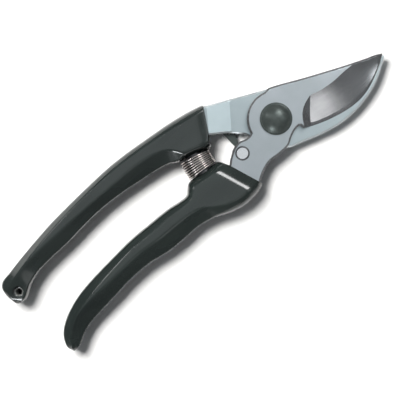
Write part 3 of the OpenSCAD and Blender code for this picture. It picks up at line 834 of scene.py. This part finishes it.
counter_loop = counter_clockwise(dedupe(np.concatenate([
    [mouth_edge(COUNTER_NEAR, COUNTER_FAR, 1, 1), mouth_edge(COUNTER_NEAR, COUNTER_FAR, -1, 1)],
    even(curve(NECK_TOP, 10), 0.6), even(arc(HEEL_R, 62, -20, 60), 0.6), even(curve(HOOK_NEAR, 10), 0.6),
    even(curve(HOOK_FAR, 10), 0.6), even(curve(NECK_LOW, 10), 0.6)])))

RAMP_A = 146
RAMP_FAR = 20
RAMP_SLOPE = math.tan(math.radians(20))


def ramp_distance(x, y):
    return x * math.cos(math.radians(RAMP_A)) + y * math.sin(math.radians(RAMP_A))


def counter_top(x, y):
    return min(lap_z + max(ramp_distance(x, y) - RAMP_FAR, 0) * RAMP_SLOPE, plate_top)


def counter_low_face(x, y):
    return counter_z


def ramp_line(distance):
    """Where the neck's face creases, from one edge of the neck to the other."""
    normal = np.array(pol(1, RAMP_A))
    tangent = np.array([-normal[1], normal[0]])
    points = np.array([normal * distance + tangent * t for t in np.arange(-22, 22, 0.5)])
    kept = points[inside(points, inset(counter_loop, np.full(len(counter_loop), 0.9)))]
    return [tuple(p) for p in kept]


hook_zone = even(curve(HOOK_NEAR, 10)[20:], 0.4)
counter_radius = rim_radius(counter_loop, 0.75, [hook_zone])
ramp_end = RAMP_FAR + (plate_top - lap_z) / RAMP_SLOPE
counter_skin, counter_creases = slab(
    counter_loop, counter_radius, np.minimum(counter_radius, 0.5), counter_top, counter_low_face,
    [((0.0, 0.0), [(bolt_r, lap_z), (bolt_r, counter_z)])],
    creases_top=[ramp_line(RAMP_FAR), ramp_line(ramp_end)], rim=FLAT_RIM)
counter_blade = make_object("counter_blade_forging", counter_skin.verts, counter_skin.faces, counter_steel,
                            sharp_edges=counter_creases, sharp_angle=PLATE_SHARP_A)
shade_sides(counter_blade, 1, SIDE_TILT)
counter_blade.data.materials.append(painted_highlight_rim_steel)
# Painted highlight: its chamfered rims get a brighter steel than its sheared sides, which carry painted shade
for polygon in counter_blade.data.polygons:
    if SIDE_TILT < polygon.normal.z < COUNTER_RIM_TILT:
        polygon.material_index = 2
weight_normals(counter_blade)
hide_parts("counter_blade")
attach(counter_blade, "counter_half")


# ---- Pivot bolt ------------------------------------------------------------

cap_r = (bolt_high.x - bolt_low.x) / 2
seat_z = washer_high.z
rim_h, rim_step, rim_round = 0.9, 0.3, 0.22
dome_r, dome_h = cap_r - rim_step, bolt_high.z - seat_z - rim_h
bolt_profile = [(0.001, 0), (bolt_r - 0.9, 0), (bolt_r - 0.5, 0.4), (bolt_r - 0.5, nut_washer_low.z),
                (bolt_r, nut_washer_low.z), (bolt_r, seat_z), (cap_r - rim_round, seat_z),
                (cap_r, seat_z + rim_round), (cap_r, seat_z + rim_h - rim_round)]
bolt_profile += [(cap_r - rim_round * (1 - math.cos(a)), seat_z + rim_h - rim_round * (1 - math.sin(a)))
                 for a in np.linspace(0.3, math.pi / 2, 5)]
ball_r = (dome_r ** 2 + dome_h ** 2) / (2 * dome_h)
bolt_profile += [(ball_r * math.sin(a) + 0.001, bolt_high.z - ball_r * (1 - math.cos(a)))
                 for a in np.linspace(math.asin(dome_r / ball_r), 0, 28)]
bolt_skin = lathe(bolt_profile, (0.0, 0.0), 128)
pivot_bolt = make_object("pivot_bolt_domed", bolt_skin.verts, bolt_skin.faces, black_steel, sharp_angle=45)
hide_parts("pivot_bolt")
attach(pivot_bolt, "counter_half")


# ---- Spring ----------------------------------------------------------------

WIRE_R = 0.38
TURNS = 7.5
WIRE_SIDES = 10
TURN_STEPS = 40
CREST_SHARE = 0.25


def spring_mesh():
    """A coil whose axis bends round the pivot, and each ring of wire's share of the way along it."""
    coil_r = spring_r - WIRE_R
    lead = math.degrees((WIRE_R + 0.1) / (spring_reach - spring_r))
    skin, rings, shares = Skin(), [], []
    steps = int(TURNS * TURN_STEPS)
    for i in range(steps + 1):
        t = i / steps
        turn = 2 * math.pi * TURNS * t
        a = math.radians(SEAT_LOW_A - lead + (SEAT_HIGH_A - SEAT_LOW_A + 2 * lead) * t)
        radial = Vector((math.cos(a), math.sin(a), 0))
        side = Vector((-math.sin(a), math.cos(a), 0))
        out = radial * math.cos(turn) + Vector((0, 0, 1)) * math.sin(turn)
        centre = radial * spring_reach + Vector((0, 0, grip_mid_z)) + out * coil_r
        points = [centre + (out * math.cos(b) + side * math.sin(b)) * WIRE_R
                  for b in np.linspace(0, 2 * math.pi, WIRE_SIDES, endpoint=False)]
        rings.append(skin.ring(points))
        shares += [t] * WIRE_SIDES
    for a, b in zip(rings, rings[1:]):
        skin.join(a, b)
    skin.faces.append(rings[0])
    skin.faces.append(rings[-1])
    return skin, shares


spring_skin, spring_shares = spring_mesh()
main_spring = make_object("main_spring_coil", spring_skin.verts, spring_skin.faces, wire_steel, sharp_angle=50)
# The outer crest of each winding gets the lighter steel: a painted highlight
main_spring.data.materials.append(painted_highlight_crest_steel)
for polygon in main_spring.data.polygons:
    x, y, z = polygon.center / MM
    if math.hypot(math.hypot(x, y) - spring_reach, z - grip_mid_z) > spring_r - WIRE_R * CREST_SHARE:
        polygon.material_index = 1
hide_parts("main_spring")
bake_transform(main_spring)


# ---- Carried CAD nodes -----------------------------------------------------

def carry(node, material, rim):
    """A CAD node keeps its shape and gets its material and softened rims."""
    obj = nodes[node]
    obj.data.materials.clear()
    obj.data.materials.append(material)
    weld = obj.modifiers.new("weld", "WELD")
    weld.merge_threshold = 1e-6
    bevel = obj.modifiers.new("rims", "BEVEL")
    bevel.width = rim * MM
    bevel.segments = 2
    bevel.limit_method = "ANGLE"
    bevel.angle_limit = math.radians(40)
    bevel.harden_normals = False


carry("bolt_washer", black_steel, 0.12)
carry("nut_washer", plain_steel, 0.12)
carry("pivot_nut", plain_steel, 0.25)
carry("nut_lock_plate", plain_steel, 0.12)
carry("lock_plate_screw", plain_steel, 0.15)
# The spring pegs get the darkened steel, painted shade inside the coil
carry("cutting_spring_peg", painted_shade_peg_steel, 0.4)
carry("counter_spring_peg", painted_shade_peg_steel, 0.4)
carry("lock_lever", black_steel, 0.2)
carry("lock_rivet", bright_steel, 0.3)
carry("lock_wave_washer", plain_steel, 0.05)
carry("keeper_pin", bright_steel, 0.25)


# ---- Floor, light and camera -----------------------------------------------

def floor_material():
    m = Nodes("floor_paper")
    fibres = m.noise(m.coords, 900.0, 2.0, 0.5)
    m.link(m.tint(m.span(fibres, 0.0, 1.0), (0.93, 0.93, 0.93), (0.96, 0.96, 0.96)), m.shader.inputs["Base Color"])
    m.shader.inputs["Roughness"].default_value = 0.9
    m.shader.inputs["Specular IOR Level"].default_value = 0.1
    return m.material


floor_mesh = bpy.data.meshes.new("floor")
FLOOR_HALF = 1.5
FLOOR_GAP = 0.0002
floor_mesh.from_pydata([(-FLOOR_HALF, -FLOOR_HALF, 0), (FLOOR_HALF, -FLOOR_HALF, 0), (FLOOR_HALF, FLOOR_HALF, 0),
                        (-FLOOR_HALF, FLOOR_HALF, 0)], [], [(0, 1, 2, 3)])
floor = bpy.data.objects.new("floor", floor_mesh)
floor.location.z = cad_low.z - FLOOR_GAP
floor.data.materials.append(floor_material())
bpy.context.scene.collection.objects.link(floor)

PICTURE_TURN = math.radians(-38)
AIM = Vector((-0.0486, -0.0076, 0.008))
LENS = 110.0
SENSOR = 36.0
PICTURE_WIDTH = 0.178


def in_picture(right, up, height):
    """A direction given by the picture's right and up, in the object's frame."""
    c, s = math.cos(PICTURE_TURN), math.sin(PICTURE_TURN)
    return Vector((right * c - up * s, right * s + up * c, height)).normalized()


def area_light(name, direction, distance, width, depth, radiance, colour=(1.0, 1.0, 1.0)):
    """A soft panel that faces the shears, with its width lying level."""
    light = bpy.data.lights.new(name, "AREA")
    light.shape = "RECTANGLE"
    light.size, light.size_y = width, depth
    light.energy = radiance * math.pi * width * depth
    light.color = colour
    obj = bpy.data.objects.new(name, light)
    obj.location = AIM + direction * distance
    obj.rotation_mode = "QUATERNION"
    obj.rotation_quaternion = (-direction).to_track_quat("-Z", "Y")
    bpy.context.scene.collection.objects.link(obj)
    return obj


key = area_light("key", in_picture(-0.75, 0.6, 1.9), 0.8, 0.28, 0.28, 38.0, (1.0, 0.99, 0.97))
key.visible_glossy = False
for panel in (area_light("overhead", in_picture(-0.1, 0.22, 1.0), 1.3, 1.0, 1.0, 0.62, (0.93, 0.97, 1.0)),
              area_light("panel_right", in_picture(0.82, 0.16, 1.0), 1.2, 0.42, 0.42, 1.6, (0.93, 0.98, 1.0)),
              area_light("strip_top", in_picture(0.47, 0.88, 1.11), 0.7, 0.2, 0.2, 14.0),
              area_light("strip_low", in_picture(-0.32, -0.95, 0.62), 0.7, 0.18, 0.12, 22.0, (0.95, 0.98, 1.0)),
              area_light("strip_side", in_picture(-0.85, 0.5, 0.83), 0.7, 0.1, 0.1, 10.0),
              area_light("panel_low_right", in_picture(0.69, -0.73, 2.1), 0.8, 0.22, 0.22, 0.9),
              area_light("horizon_low", in_picture(0.15, -1.0, 0.12), 0.75, 0.7, 0.08, 2.2),
              area_light("horizon_right", in_picture(1.0, -0.45, 0.12), 0.75, 0.5, 0.08, 1.3)):
    panel.visible_diffuse = False

world = bpy.data.worlds.new("studio")
bpy.context.scene.world = world
world.use_nodes = True
WORLD_STRENGTH = 0.14
background = world.node_tree.nodes["Background"]
background.inputs["Color"].default_value = (0.93, 0.97, 1.0, 1)
background.inputs["Strength"].default_value = WORLD_STRENGTH

camera_data = bpy.data.cameras.new("camera")
camera_data.lens = LENS
camera_data.sensor_width = SENSOR
camera = bpy.data.objects.new("camera", camera_data)
camera.location = AIM + Vector((0, 0, PICTURE_WIDTH * LENS / SENSOR))
camera.rotation_euler = (0, 0, PICTURE_TURN)
bpy.context.scene.collection.objects.link(camera)
bpy.context.scene.camera = camera
bpy.context.scene.view_settings.view_transform = "Standard"
